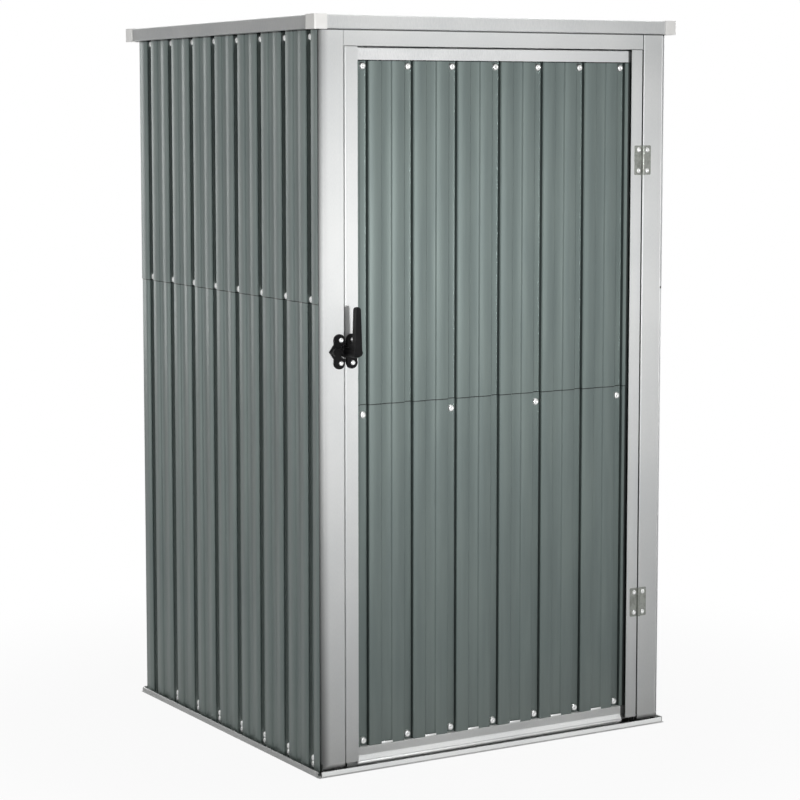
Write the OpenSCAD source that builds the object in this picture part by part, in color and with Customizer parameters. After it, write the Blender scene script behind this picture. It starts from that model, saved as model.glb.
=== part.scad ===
// Metal storage shed: profiled steel sheets on a light steel frame, with one hinged door.
// The front faces -Y, +X is to the right of someone facing the door, and Z = 0 is the ground.

/* [Body] */
// Width over the ribs of the side walls
body_w = 884; // [860:2:940]
// Depth from the front of the posts to the ribs of the back wall
body_d = 860; // [840:2:900]
// Height of the roof trim's top edge at the front
front_h = 1590; // [1500:5:1700]
// How much the roof drops from front to back
roof_fall = 8.5; // [4:0.5:14]

/* [Profiled sheet] */
// Thickness of the steel sheet as modelled
sheet_t = 0.8; // [0.6:0.1:1.2]
// Distance between the deep grooves
rib_pitch = 109.5; // [107:0.5:112]
// Width of a deep groove at its bottom
groove_w = 19.5; // [16:0.5:28]
// Depth of a deep groove
groove_depth = 10.5; // [8:0.5:13]
// Run of the slope on each side of a deep groove
groove_run = 1.6; // [1:0.2:5]
// Width of the shallow swage between two grooves
swage_w = 27; // [20:1:32]
// Depth of the shallow swage
swage_depth = 2.5; // [1.5:0.5:4]
// Run of the slope on each side of the swage
swage_run = 2.5; // [2:0.5:4]
// Radius of a groove's folds, at the middle of two lapped sheets
fold_r = 1.2; // [1.1:0.1:2]
// Distance that the grooves of the side walls sit in front of the middle
side_shift = 3; // [0:1:6]
// Height of the lap between the upper and lower wall sheets
wall_joint_z = 998; // [900:2:1100]
// Height of the lap between the upper and lower door sheets
door_joint_z = 782; // [700:2:860]
// Length of the lap of two sheets
sheet_lap = 20; // [12:1:30]
// Distance of the side sheets' front edge behind the face of the posts
sheet_front = 6; // [4:0.5:9]
// Height that the wall sheets reach up behind the roof trim
wall_under = 8; // [5:0.5:12]

/* [Base rails] */
// Thickness of the base rails
base_t = 1.5; // [1:0.1:2]
// Distance of the outer lip from the ribs of the wall
base_out = 10; // [8:0.5:14]
// Height of the outer lip
lip_h = 13; // [10:0.5:14]
// Height of the folded hem at the top of the lip
hem_h = 4; // [3:0.5:6]
// Height of the inner upstand that carries the wall sheets
upstand_h = 45; // [36:1:60]
// Height of the low inner upstand below the doorway
sill_h = 12; // [8:1:14]
// Width of the foot inside the wall
foot_w = 24; // [16:1:40]
// Length of the lip left out at each corner
corner_notch = 8; // [5:1:12]

/* [Posts] */
// Width of a front post's face
post_w = 56; // [50:1:66]
// Distance of a front post's outer edge inside the ribs of the side wall
post_inset = 4; // [3.5:0.5:6]
// Thickness of the posts, rails and trims' supports
post_t = 1.5; // [1.2:0.1:2]
// Inner radius of the folds in the frame
bend_r = 0.8; // [0.5:0.1:1.2]
// Inner radius of the front post's outer corner
post_r = 8; // [5:0.5:9]
// Depth of the return at the post's outer edge
post_return = 13.5; // [12.5:0.5:16]
// Width of the lip behind the doorway's side
stop_w = 9; // [6:0.5:14]
// Depth of the post's side at the doorway
jamb_depth = 30; // [26:1:40]
// Depth of the post's leg behind the side wall
post_leg = 64; // [60:1:80]
// Height of the lower edge of the post's face
post_face_z = 26; // [20:1:32]
// Depth of the rear post's leg along the side wall
rear_leg_side = 56; // [50:1:80]
// Depth of the rear post's leg along the back wall
rear_leg_back = 74; // [72:1:90]

/* [Rails] */
// Height of the girts at the wall joint
girt_h = 40; // [30:1:60]
// Depth of the girts and of the top rails' upper leg
girt_d = 22; // [15:1:30]
// Distance of the top rails' lower edge below the front roof edge
top_rail_drop = 58; // [50:1:80]

/* [Roof] */
// Overhang of the roof trim at each side
roof_side = 16; // [13:0.5:22]
// Overhang of the roof trim at the front
roof_front = 13.5; // [13:0.5:20]
// Overhang of the roof trim at the back
roof_back = 39; // [20:1:50]
// Height of the roof trim
trim_h = 28; // [25:1:40]
// Thickness of the roof trim
trim_t = 1.2; // [1:0.1:1.6]
// Width of the trim's upper flange
trim_flange = 20; // [16:1:28]
// Height left free between the posts and the roof sheets
roof_clear = 3; // [2:0.5:6]
// Gap between the trims' lower flange and the walls
trim_gap = 2; // [1:0.5:4]
// Length that the roof sheets lap beyond the middle groove's folds
roof_over = 5; // [4:0.5:10]
// Length of a roof corner cap along the front or the back
cap_arm = 29; // [26:1:40]
// Length of a roof corner cap along the side
cap_side = 35; // [26:1:44]
// Thickness of a roof corner cap
cap_t = 1.4; // [1.2:0.1:2.4]
// Width of a corner cap's upper and lower plates
cap_in = 10; // [8:0.5:10.5]
// Radius of a corner cap's outer edge
cap_r = 3; // [2.5:0.5:5]

/* [Door] */
// Gap between the door and the right post
door_gap = 3; // [2.5:0.5:5]
// Gap between the door and the left post
lock_gap = 2; // [1.5:0.5:4]
// Gap between the door's top rail and the lintel
head_gap = 3; // [2:0.5:5]
// Gap between the stiles' upper ends and the lintel
stile_gap = 1; // [0.5:0.5:2]
// Gap between the lintel's face and the right post
lintel_gap = 2.4; // [1.5:0.1:4]
// Width of the door's right stile
stile_w = 29.5; // [26:0.5:34]
// Length of the door's rails and sheets behind each stile's inner edge
panel_cover = 1.5; // [1:0.5:4]
// Distance of the door's panel behind the stile faces
panel_recess = 10; // [9:0.5:13]
// Width of the stiles' flange behind the panel
stile_flange = 64; // [62:1:72]
// Distance from the front roof edge down to the top of the doorway
head_drop = 62.5; // [58:0.5:80]
// Height of the door's lower edge
door_bottom = 18.5; // [18:0.5:24]
// Height of the stiles' lower ends
stile_bottom = 22; // [20:0.5:26]
// Height of the door's top rail
top_rail_h = 25; // [20:1:34]
// Height of the door's bottom rail
bottom_rail_h = 30.5; // [26:0.5:40]
// Height of the sloping drip edge of the bottom rail
drip_h = 9; // [6:0.5:12]
// Distance that the drip edge stands forward
drip_out = 5; // [3:0.5:6]
// Height of the door's middle rail
mid_rail_h = 40; // [30:1:60]
// Distance of the middle rail's centre below the lap of the door sheets
mid_rail_drop = 22; // [20:1:40]
// Depth of the middle rail's flange
mid_rail_d = 14; // [8:1:20]

/* [Hinges] */
// Height of the hinge leaves
hinge_h = 65; // [50:1:80]
// Width of one hinge leaf from the pin
leaf_w = 22; // [18:0.5:26]
// Thickness of the hinge leaves
leaf_t = 1.6; // [1.2:0.1:2]
// Radius of the hinge knuckles
knuckle_r = 3.2; // [2.8:0.1:4]
// Radius of the hinge pin
pin_r = 1.6; // [1.4:0.1:1.8]
// Height of the lower hinge's centre
lower_hinge_z = 287; // [200:1:400]
// Distance of the upper hinge's centre below the top of the door
upper_hinge_drop = 240.5; // [180:0.5:400]
// Corner radius of the hinge leaves
leaf_r = 2.5; // [1:0.5:4]
// Gap between two knuckles
knuckle_gap = 0.4; // [0.3:0.05:0.6]

/* [Latch] */
// Height of the latch's pivot
latch_z = 898; // [850:1:960]
// Distance of the latch's screw lobes from the pivot, sideways
lobe_x = 15; // [14.5:0.5:16.5]
// Distance of the latch's screw lobes from the pivot, up and down
lobe_z = 23.5; // [21:0.5:28]
// Radius of the screw lobes
lobe_r = 13; // [11:0.5:13.5]
// Distance of the plates' side tips from the pivot
tip_x = 38.5; // [36:0.5:41]
// Half height of the plates where their sides turn to the tips
shoulder_z = 15; // [12:0.5:17]
// Thickness of the plates
plate_t = 6; // [5:0.5:7]
// Width and height of the step along the plates' edge
plate_step = 1.2; // [0.8:0.1:2]
// Depth of the notch between the two lobes of a plate, from the lobes' centres
lobe_notch = 2; // [1.5:0.5:6]
// Distance of each plate's inner edge from the pivot
latch_split = 1.5; // [1.2:0.1:3]
// Radius of the boss that carries the lever
boss_r = 13; // [12:0.5:13.5]
// Height of the boss above the plate
boss_rise = 2; // [1.5:0.5:3]
// Height of the boss's underside above the stile
boss_base = 2; // [1:0.5:3]
// Radius of the lever's spindle
spindle_r = 5; // [4:0.5:6]
// Thickness of the lever's tongue
tongue_t = 3.5; // [3:0.5:5]
// Width of the lever's tongue
tongue_w = 10; // [8:0.5:12]
// Reach of the tongue from the pivot
tongue_reach = 30; // [28:0.5:32]
// Thickness of the keeper's hook over the tongue
hook_t = 3; // [2.5:0.5:4]
// Half height of the keeper's hook
hook_half = 8; // [6:0.5:10]
// Radius of the lever's hub at its outer end
hub_r = 10; // [9:0.5:12]
// Distance of the lever arm's back from the stile face
arm_out = 44; // [34:1:52]
// Thickness of the lever arm
arm_t = 14; // [10:0.5:16]
// Radius of the outside of the lever's elbow
elbow_r = 15; // [12:0.5:18]
// Width of the lever arm at its root
arm_root_w = 17; // [12:0.5:18]
// Width of the lever arm at its end
arm_end_w = 10.5; // [7:0.5:12]
// Height of the lever arm's end above the pivot
arm_l = 96; // [80:1:110]

/* [Clearances] */
// Gap between lapped sheets
lap_gap = 0.1; // [0.05:0.05:0.2]
// Gap at mitred corners and beside rails
fit_gap = 0.3; // [0.2:0.05:0.5]
// Running clearance of pins and spindles
run_gap = 0.05; // [0.03:0.01:0.08]
// Clearance between the latch's turning and fixed pieces
latch_gap = 0.5; // [0.4:0.1:0.8]

/* [Hidden] */
$fn = 36;
eps = 0.01;
steel = "silver";
sheet_grey = "slategray";
hinge_grey = "darkgray";
latch_black = "dimgray";
hw = body_w / 2;
hd = body_d / 2;
groove_half = groove_w / 2 + groove_run;
// Radius of a fold for each step that it is drawn in
fold_step = 0.9;
fold_clear = 2 * fold_r;
// Planes behind the grooves of the upper and of the lower sheets
upper_back = groove_depth + sheet_t;
lower_inset = sheet_t + lap_gap;
lower_back = upper_back + lower_inset;
base_in = lower_back + base_t + foot_w;
// Doorway and door
jamb_x = hw - post_inset - post_w;
head_z = front_h - head_drop;
stile_x = jamb_x - door_gap;
lock_x = jamb_x - lock_gap;
stile_in_x = stile_x - stile_w;
stile_top = head_z - stile_gap;
door_top = head_z - head_gap;
panel_half = stile_in_x + panel_cover;
panel_y = -hd + panel_recess;
door_back = panel_recess + upper_back;
flange_x = stile_x - stile_flange;
ledge_z = door_bottom + bottom_rail_h;
// Roof, set out from the top of the front trim and turned by the fall
roof_y = -hd - roof_front;
roof_l = body_d + roof_front + roof_back;
roof_half = hw + roof_side;
roof_angle = atan(roof_fall / roof_l);
roof_rib = -trim_t - fit_gap;
roof_under = roof_rib - lower_back;
// Hinge axis in front of the gap beside the right post
hinge_x = jamb_x - door_gap / 2;
hinge_y = -hd - knuckle_r - fit_gap;
hinge_reach = -hd - hinge_y;
// Distance of the leaves from the axis, clear of the other leaf's knuckles
leaf_in = sqrt(pow(knuckle_r + fit_gap, 2) - pow(hinge_reach - leaf_t, 2));
upper_hinge_z = door_top - upper_hinge_drop;
knuckle_h = hinge_h / 3;
// Latch axis beside the left post
latch_x = -(jamb_x - lock_gap / 2);
boss_top = plate_t + boss_rise;
tongue_base = boss_top + latch_gap;
tongue_top = tongue_base + tongue_t;
hook_base = tongue_top + latch_gap;
hook_end = tongue_reach + 2 * latch_gap;
post_top = front_h + roof_under - roof_clear;

// Folded sheet metal: a path of fold points is the middle of a strip, and each fold is rounded
function turned(v, a) = [v.x * cos(a) - v.y * sin(a), v.x * sin(a) + v.y * cos(a)];
function heading(p, q) = (q - p) / norm(q - p);
// Points of the middle line at the fold q between p and s, each with its normal
function fold(p, q, s, r) =
    let (a = heading(p, q), b = heading(q, s), n = turned(a, 90), t = atan2(a.x * b.y - a.y * b.x, a * b))
    r == 0 ? [[q, (n + turned(b, 90)) / (1 + a * b)]]
    : let (c = q - a * r * tan(abs(t) / 2) + n * r * sign(t), steps = max(1, round(r / fold_step)))
        [for (k = [0 : steps]) let (m = turned(n, t * k / steps)) [c - m * r * sign(t), m]];
function fold_line(path, radii) = let (z = len(path) - 1) concat(
    [[path[0], turned(heading(path[0], path[1]), 90)]],
    [for (i = [1 : z - 1]) each fold(path[i - 1], path[i], path[i + 1], radii[i])],
    [[path[z], turned(heading(path[z - 1], path[z]), 90)]]);
// Strip between two offsets from a path, to its left where positive
module strip(path, radii, from, to) {
    line = fold_line(path, radii);
    polygon(concat([for (k = line) k[0] + k[1] * to],
                   [for (i = [len(line) - 1 : -1 : 0]) line[i][0] + line[i][1] * from]));
}
module folded(path, t, r = bend_r) strip(path, [for (p = path) r + t / 2], -t / 2, t / 2);

// Fold points of a profiled sheet from s0 to s1, as place, height and radius, with a groove at s = groove
function waves(s0, s1, groove) = [
    for (k = [floor((s0 - groove) / rib_pitch) : ceil((s1 - groove) / rib_pitch)])
        let (c = groove + k * rib_pitch, m = c + rib_pitch / 2) each concat(
            c - groove_half - fold_clear < s0 || c + groove_half + fold_clear > s1 ? []
            : [[c - groove_half, 0, fold_r], [c - groove_w / 2, -groove_depth, fold_r],
               [c + groove_w / 2, -groove_depth, fold_r], [c + groove_half, 0, fold_r]],
            m - swage_w / 2 - fold_clear < s0 || m + swage_w / 2 + fold_clear > s1 ? []
            : [[m - swage_w / 2, 0, 0], [m - swage_w / 2 + swage_run, -swage_depth, 0],
               [m + swage_w / 2 - swage_run, -swage_depth, 0], [m + swage_w / 2, 0, 0]])];
// Section of a profiled sheet with its outer face to +Y; the ribs of the upper sheet are at y = 0
module sheet_section(s0, s1, groove, lower) {
    mid = sheet_t + lap_gap / 2;
    points = concat([[s0, 0, 0]], waves(s0, s1, groove), [[s1, 0, 0]]);
    strip([for (p = points) [p.x, p.y - mid]], [for (p = points) p.z],
          lower ? -mid : lap_gap / 2, lower ? -lap_gap / 2 : mid);
}

// Square with all four corners round
module round_square(w, d, r) {
    translate([r, 0]) square([w - 2 * r, d]);
    translate([0, r]) square([w, d - 2 * r]);
    for (x = [r, w - r], y = [r, d - r]) translate([x, y]) circle(r);
}

// Prism that cuts a frame member of half length l, at distance a from the centre, to 45 degrees
module mitre(l, a, d, z0, z1) {
    translate([0, 0, z0]) linear_extrude(z1 - z0)
        polygon([[-l + fit_gap / 2, a], [l - fit_gap / 2, a],
                 [l - d - fit_gap / 2, a - d], [-l + d + fit_gap / 2, a - d]]);
}

// Sheets of the walls, the upper ones lapped over the lower ones
wall_bottom = base_t + fit_gap;
wall_top = front_h - trim_h - roof_fall + wall_under;
module wall_lower() translate([0, 0, wall_bottom])
    linear_extrude(wall_joint_z + sheet_lap - wall_bottom) children();
module wall_upper() translate([0, 0, wall_joint_z]) linear_extrude(wall_top - wall_joint_z) children();
module on_left() translate([-hw, 0, 0]) rotate([0, 0, 90]) children();
module on_back() translate([0, hd, 0]) children();
module side_section(lower)
    sheet_section(-hd + sheet_front, hd - (lower ? lower_inset : 0), rib_pitch / 2 - side_shift, lower);
module back_section(lower) {
    half = hw - lower_inset - sheet_t - fit_gap;
    sheet_section(-half, half, rib_pitch / 2, lower);
}
module left_wall_lower() color(sheet_grey) on_left() wall_lower() side_section(true);
module left_wall_upper() color(sheet_grey) on_left() wall_upper() side_section(false);
module right_wall_lower() mirror([1, 0, 0]) left_wall_lower();
module right_wall_upper() mirror([1, 0, 0]) left_wall_upper();
module back_wall_lower() color(sheet_grey) on_back() wall_lower() back_section(true);
module back_wall_upper() color(sheet_grey) on_back() wall_upper() back_section(false);

// Base rails: foot, hemmed outer lip and the upstand behind the sheets
module base_section() {
    lip = base_out - base_t / 2;
    hem = lip - 2 * bend_r - base_t - lap_gap;
    top = lip_h - base_t / 2;
    folded([[hem, lip_h - hem_h], [hem, top], [lip, top],
            [lip, base_t / 2], [-base_in, base_t / 2]], base_t);
}
// Rail along X at y = half_other, cut to length, with its lip left out at the corners
module base_rail(half, half_other, stand_at, stand_h, stand_from, stand_to) {
    reach = half + base_out;
    color(steel) {
        difference() {
            intersection() {
                translate([-reach, half_other, 0]) rotate([90, 0, 90])
                    linear_extrude(2 * reach) base_section();
                mitre(reach, half_other + base_out, base_in + base_out, -1, lip_h + 1);
            }
            for (side = [-1, 1])
                translate([side * (reach - corner_notch / 2), half_other + base_out, lip_h / 2 + base_t])
                    cube([corner_notch, 4 * base_out, lip_h], center = true);
        }
        translate([stand_from, half_other - stand_at - base_t, base_t / 2])
            cube([stand_to - stand_from, base_t, stand_h - base_t / 2]);
    }
}
module base_rail_left()
    rotate([0, 0, 90])
        base_rail(hd, hw, lower_back, upstand_h, -hd + post_leg + fit_gap, hd - rear_leg_side - fit_gap);
module base_rail_right() mirror([1, 0, 0]) base_rail_left();
module base_rail_back()
    base_rail(hw, hd, lower_back, upstand_h, -hw + rear_leg_back + fit_gap, hw - rear_leg_back - fit_gap);
module base_rail_front()
    rotate([0, 0, 180])
        base_rail(hw, hd, base_in - 2 * base_t, sill_h, -jamb_x + foot_w, jamb_x - foot_w);

// Front posts: one strip folded into a leg behind the side wall, a return, the face and the jamb
module post_section() {
    half_t = post_t / 2;
    leg = lower_back - post_inset + half_t;
    back = post_return - half_t;
    jamb = post_w - half_t;
    tight = bend_r + half_t;
    strip([[leg, post_leg], [leg, back], [half_t, back], [half_t, half_t], [jamb, half_t],
           [jamb, jamb_depth - half_t], [post_w - stop_w, jamb_depth - half_t]],
          [0, tight, tight, post_r + half_t, tight, tight, 0], -half_t, half_t);
}
module corner_post_front_left() {
    color(steel) translate([-hw + post_inset, -hd, 0]) difference() {
        translate([0, 0, base_t]) linear_extrude(post_top - base_t) post_section();
        translate([-1, -1, 0]) cube([post_w + 2, post_return + 2, post_face_z]);
    }
}
module corner_post_front_right() mirror([1, 0, 0]) corner_post_front_left();

// Rear posts: plain angles inside the corner
module corner_post_back_left() {
    leg = lower_back + post_t / 2;
    color(steel) translate([-hw, hd, base_t]) mirror([0, 1, 0])
        linear_extrude(post_top - roof_fall - base_t)
            folded([[leg, rear_leg_side], [leg, leg], [rear_leg_back, leg]], post_t);
}
module corner_post_back_right() mirror([1, 0, 0]) corner_post_back_left();

// Girts behind the lap of the wall sheets
module angle_section(h, d, at_top) {
    fold_z = at_top ? h - post_t / 2 : post_t / 2;
    folded([[post_t / 2, at_top ? 0 : h], [post_t / 2, fold_z], [d, fold_z]], post_t);
}
girt_z = wall_joint_z + sheet_lap / 2 - girt_h / 2;
module wall_girt_left() {
    y0 = -hd + post_leg + fit_gap;
    y1 = hd - rear_leg_side - fit_gap;
    color(steel) translate([-hw + lower_back, y1, girt_z]) rotate([90, 0, 0])
        linear_extrude(y1 - y0) angle_section(girt_h, girt_d, false);
}
module wall_girt_right() mirror([1, 0, 0]) wall_girt_left();
module wall_girt_back() {
    half = hw - rear_leg_back - fit_gap;
    color(steel) translate([-half, hd - lower_back, girt_z]) rotate([90, 0, 90])
        linear_extrude(2 * half) mirror([1, 0]) angle_section(girt_h, girt_d, false);
}

// Frame of the roof: origin on the front trim's top edge, +Y to the back along the fall
module on_roof() translate([0, roof_y, front_h]) rotate([-roof_angle, 0, 0]) children();

// Top rails: angles that carry the roof sheets
top_rail_len = top_rail_drop + roof_under;
module top_rail_left() {
    y0 = roof_front + post_leg + 2 * fit_gap;
    y1 = roof_front + body_d - rear_leg_side - 2 * fit_gap;
    color(steel) on_roof() translate([-hw + upper_back + lap_gap, y1, -top_rail_drop]) rotate([90, 0, 0])
        linear_extrude(y1 - y0) angle_section(top_rail_len, girt_d, true);
}
module top_rail_right() mirror([1, 0, 0]) top_rail_left();
module top_rail_back() {
    half = hw - rear_leg_back - fit_gap;
    drop = roof_fall * (roof_front + body_d) / roof_l;
    color(steel) translate([-half, hd - upper_back, front_h - top_rail_drop - drop])
        rotate([90, 0, 90]) linear_extrude(2 * half)
            mirror([1, 0]) angle_section(top_rail_len, girt_d, true);
}

// Lintel over the door, between the posts
module door_header() {
    half_t = post_t / 2;
    top = post_top - head_z - half_t;
    color(steel) difference() {
        translate([-jamb_x, -hd, head_z]) rotate([90, 0, 90]) linear_extrude(2 * jamb_x)
            folded([[jamb_depth, half_t], [half_t, half_t], [half_t, top], [jamb_depth, top]], post_t);
        translate([jamb_x - lintel_gap, -hd - 1, head_z - 1])
            cube([lintel_gap + 1, 1 + post_t + bend_r, post_top - head_z + 2]);
    }
}

// Roof sheets, the right one lapped over the left one at the middle groove
roof_edge = trim_t + fit_gap;
roof_lap = groove_half + roof_over;
module roof_sheet(s0, s1, lower) {
    color(sheet_grey) on_roof() translate([0, roof_l - roof_edge, roof_rib]) rotate([90, 0, 0])
        linear_extrude(roof_l - 2 * roof_edge) sheet_section(s0, s1, 0, lower);
}
module roof_sheet_left() roof_sheet(-roof_half + roof_edge, roof_lap, true);
module roof_sheet_right() roof_sheet(-roof_lap, roof_half - roof_edge, false);

// Roof trims: channels around the edge, mitred at the corners
module trim_section(lower) {
    face = -trim_t / 2;
    low = trim_t / 2 - trim_h;
    folded([[-lower, low], [face, low], [face, face], [-trim_flange, face]], trim_t);
}
module roof_trim(half, edge, lower) {
    color(steel) intersection() {
        translate([-half, edge, 0]) rotate([90, 0, 90]) linear_extrude(2 * half) trim_section(lower);
        mitre(half, edge, max(lower, trim_flange) + 1, -trim_h - 1, 1);
    }
}
module roof_trim_front()
    on_roof() rotate([0, 0, 180]) roof_trim(roof_half, 0, roof_front - trim_gap);
module roof_trim_back()
    on_roof() roof_trim(roof_half, roof_l, roof_back - trim_gap);
module roof_trim_left()
    on_roof() translate([0, roof_l / 2, 0]) rotate([0, 0, 90])
        roof_trim(roof_l / 2, roof_half, roof_side - trim_gap);
module roof_trim_right() mirror([1, 0, 0]) roof_trim_left();

// Roof corner caps: moulded covers that wrap the trims' corners
module cap_plan() {
    difference() {
        union() {
            translate([cap_r - cap_t, -cap_t]) square([cap_arm + cap_t - cap_r, cap_in + cap_t]);
            translate([-cap_t, cap_r - cap_t]) square([cap_in + cap_t, cap_side + cap_t - cap_r]);
            translate([cap_r - cap_t, cap_r - cap_t]) circle(cap_r);
        }
        translate([cap_in, cap_in]) square(2 * cap_side);
    }
}
module roof_cap() {
    seat = fit_gap / 2;
    color("gainsboro") difference() {
        translate([0, 0, -trim_h - cap_t]) linear_extrude(trim_h + 2 * cap_t) cap_plan();
        translate([0, 0, -trim_h - seat]) linear_extrude(trim_h + 2 * seat)
            translate([-seat, -seat]) square(2 * cap_side);
    }
}
module roof_cap_front_left() on_roof() translate([-roof_half, 0, 0]) roof_cap();
module roof_cap_front_right() mirror([1, 0, 0]) roof_cap_front_left();
module roof_cap_back_left() on_roof() translate([-roof_half, roof_l, 0]) mirror([0, 1, 0]) roof_cap();
module roof_cap_back_right() mirror([1, 0, 0]) roof_cap_back_left();

// Door stiles: face, outer side and the flange that the panel is screwed to
module door_stile(outer_x) {
    half_t = post_t / 2;
    back = door_back + half_t;
    color(steel) translate([-outer_x, -hd, stile_bottom]) linear_extrude(stile_top - stile_bottom)
        folded([[outer_x - stile_in_x, half_t], [half_t, half_t],
                [half_t, back], [outer_x - flange_x, back]], post_t);
}
module door_stile_left() door_stile(lock_x);
module door_stile_right() mirror([1, 0, 0]) door_stile(stile_x);

// Member of the door along X, drawn as a section of depth behind the stile face and height
module door_member(half) {
    color(steel) translate([-half, -hd, 0]) rotate([90, 0, 90]) linear_extrude(2 * half) children();
}
module door_rail_top() {
    face = panel_recess - lower_inset - post_t / 2;
    top = door_top - post_t / 2;
    door_member(panel_half)
        folded([[face, door_top - top_rail_h], [face, top], [door_back - fit_gap, top]], post_t);
}
module door_rail_bottom() {
    face = panel_recess - fit_gap - post_t / 2;
    back = door_back - fit_gap;
    low = door_bottom + post_t / 2;
    top = ledge_z - post_t / 2;
    door_member(panel_half)
        folded([[back, top], [face, top], [face, door_bottom + drip_h],
                [face - drip_out, low], [back, low]], post_t);
}
mid_rail_z = door_joint_z - mid_rail_drop - mid_rail_h / 2;
module door_rail_middle() {
    door_member(flange_x - fit_gap)
        translate([door_back, mid_rail_z]) angle_section(mid_rail_h, mid_rail_d, false);
}

// Door sheets, the upper one lapped over the lower one
module door_sheet(z0, z1, lower) {
    color(sheet_grey) translate([0, panel_y - lower_inset, z0]) rotate([0, 0, 180]) linear_extrude(z1 - z0)
        sheet_section(-panel_half, panel_half, 0, lower);
}
module door_sheet_lower() door_sheet(ledge_z + eps, door_joint_z + sheet_lap, true);
module door_sheet_upper() door_sheet(door_joint_z, door_top - post_t - bend_r - fit_gap, false);

// Butt hinges: a knuckle of the door leaf between two of the post leaf, which holds the pin
module leaf(side) {
    width = leaf_w - leaf_in;
    mirror([side > 0 ? 0 : 1, 0, 0]) translate([leaf_in, hinge_reach, -hinge_h / 2])
        rotate([90, 0, 0]) linear_extrude(leaf_t) {
            square([width - leaf_r, hinge_h]);
            round_square(width, hinge_h, leaf_r);
        }
}
module knuckle_arm(side, z0, h) {
    reach = leaf_in + leaf_t;
    translate([side > 0 ? 0 : -reach, hinge_reach - leaf_t, z0]) cube([reach, leaf_t, h]);
}
module hinge_post_leaf(z) {
    color(hinge_grey) translate([hinge_x, hinge_y, z]) {
        leaf(1);
        for (z0 = [-hinge_h / 2, knuckle_h / 2 + knuckle_gap / 2]) {
            translate([0, 0, z0]) cylinder(r = knuckle_r, h = knuckle_h - knuckle_gap / 2);
            knuckle_arm(1, z0, knuckle_h - knuckle_gap / 2);
        }
        translate([0, 0, -hinge_h / 2]) cylinder(r = pin_r, h = hinge_h);
    }
}
module hinge_door_leaf(z) {
    h = knuckle_h - knuckle_gap;
    color(hinge_grey) translate([hinge_x, hinge_y, z]) difference() {
        union() {
            leaf(-1);
            translate([0, 0, -h / 2]) cylinder(r = knuckle_r, h = h);
            knuckle_arm(-1, -h / 2, h);
        }
        translate([0, 0, -hinge_h]) cylinder(r = pin_r + run_gap, h = 2 * hinge_h);
    }
}
module hinge_post_leaf_lower() hinge_post_leaf(lower_hinge_z);
module hinge_post_leaf_upper() hinge_post_leaf(upper_hinge_z);
module hinge_door_leaf_lower() hinge_door_leaf(lower_hinge_z);
module hinge_door_leaf_upper() hinge_door_leaf(upper_hinge_z);

// Frame of the latch: its pivot on the stile face, extruded forward
module on_latch() translate([latch_x, -hd, latch_z]) rotate([90, 0, 0]) children();
module latch_plan(inset) {
    r = lobe_r - inset;
    inner = latch_split + inset;
    outer = lobe_x + r - plate_step / 2;
    side = [[inner, lobe_z - lobe_notch - inset], [lobe_x, lobe_z + r / 2],
            [outer, lobe_z], [outer, shoulder_z - inset]];
    for (z = [-lobe_z, lobe_z]) translate([lobe_x, z]) circle(r);
    polygon(concat(side, [[tip_x - inset, 0]], [for (i = [len(side) - 1 : -1 : 0]) [side[i].x, -side[i].y]]));
}
module latch_plate() {
    linear_extrude(plate_t - plate_step) latch_plan(0);
    linear_extrude(plate_t) latch_plan(plate_step);
}

// Half of the latch on the door: plate and the boss that the lever turns in
module latch_base() {
    color(latch_black) on_latch() difference() {
        union() {
            intersection() {
                latch_plate();
                translate([latch_split, -2 * lobe_z, -1]) cube([tip_x, 4 * lobe_z, plate_t + 2]);
            }
            translate([0, 0, boss_base]) cylinder(r = boss_r, h = boss_top - boss_base);
        }
        translate([0, 0, -1]) cylinder(r = spindle_r + run_gap, h = boss_top + 2);
    }
}

// Half of the latch on the post: plate with a hook over the lever's tongue
hook_gap = 2 * latch_gap + boss_r;
module latch_keeper() {
    color(latch_black) on_latch() mirror([1, 0, 0]) {
        difference() {
            latch_plate();
            translate([0, 0, -1]) cylinder(r = boss_r + boss_rise, h = plate_t + 2);
        }
        intersection() {
            linear_extrude(hook_base + 2 * hook_t) latch_plan(plate_step);
            union() {
                translate([hook_end, -hook_half, 0]) cube([tip_x, 2 * hook_half, hook_base + hook_t]);
                translate([hook_gap + hook_t, -hook_half, hook_base]) cube([tip_x, 2 * hook_half, hook_t]);
            }
        }
    }
}

// Lever: spindle, tongue, and a neck that turns up at an elbow into the arm
module lever_side() {
    neck = arm_out + arm_t - elbow_r;
    translate([tongue_base, -hub_r]) square([neck - tongue_base, 2 * hub_r]);
    translate([neck, elbow_r - hub_r]) circle(elbow_r);
    translate([arm_out, 0]) square([arm_t, arm_l - arm_t / 2]);
    translate([arm_out + arm_t / 2, arm_l - arm_t / 2]) circle(arm_t / 2);
}
module lever_front() {
    shoulder = arm_l - arm_end_w / 2;
    circle(hub_r);
    polygon([[-arm_root_w / 2, 0], [arm_root_w / 2, 0],
             [arm_end_w / 2, shoulder], [-arm_end_w / 2, shoulder]]);
    translate([0, shoulder]) circle(arm_end_w / 2);
}
module latch_lever() {
    tip = tongue_reach - tongue_w / 2;
    color(latch_black) on_latch() {
        translate([0, 0, boss_base + latch_gap]) cylinder(r = spindle_r, h = tongue_base - boss_base);
        translate([0, 0, tongue_base]) linear_extrude(tongue_t) {
            circle(boss_r);
            translate([-tip, -tongue_w / 2]) square([tip, tongue_w]);
            translate([-tip, 0]) circle(tongue_w / 2);
        }
        intersection() {
            linear_extrude(arm_out + 2 * arm_t) lever_front();
            translate([2 * hub_r, 0, 0]) rotate([0, -90, 0]) linear_extrude(4 * hub_r) lever_side();
        }
    }
}

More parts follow.
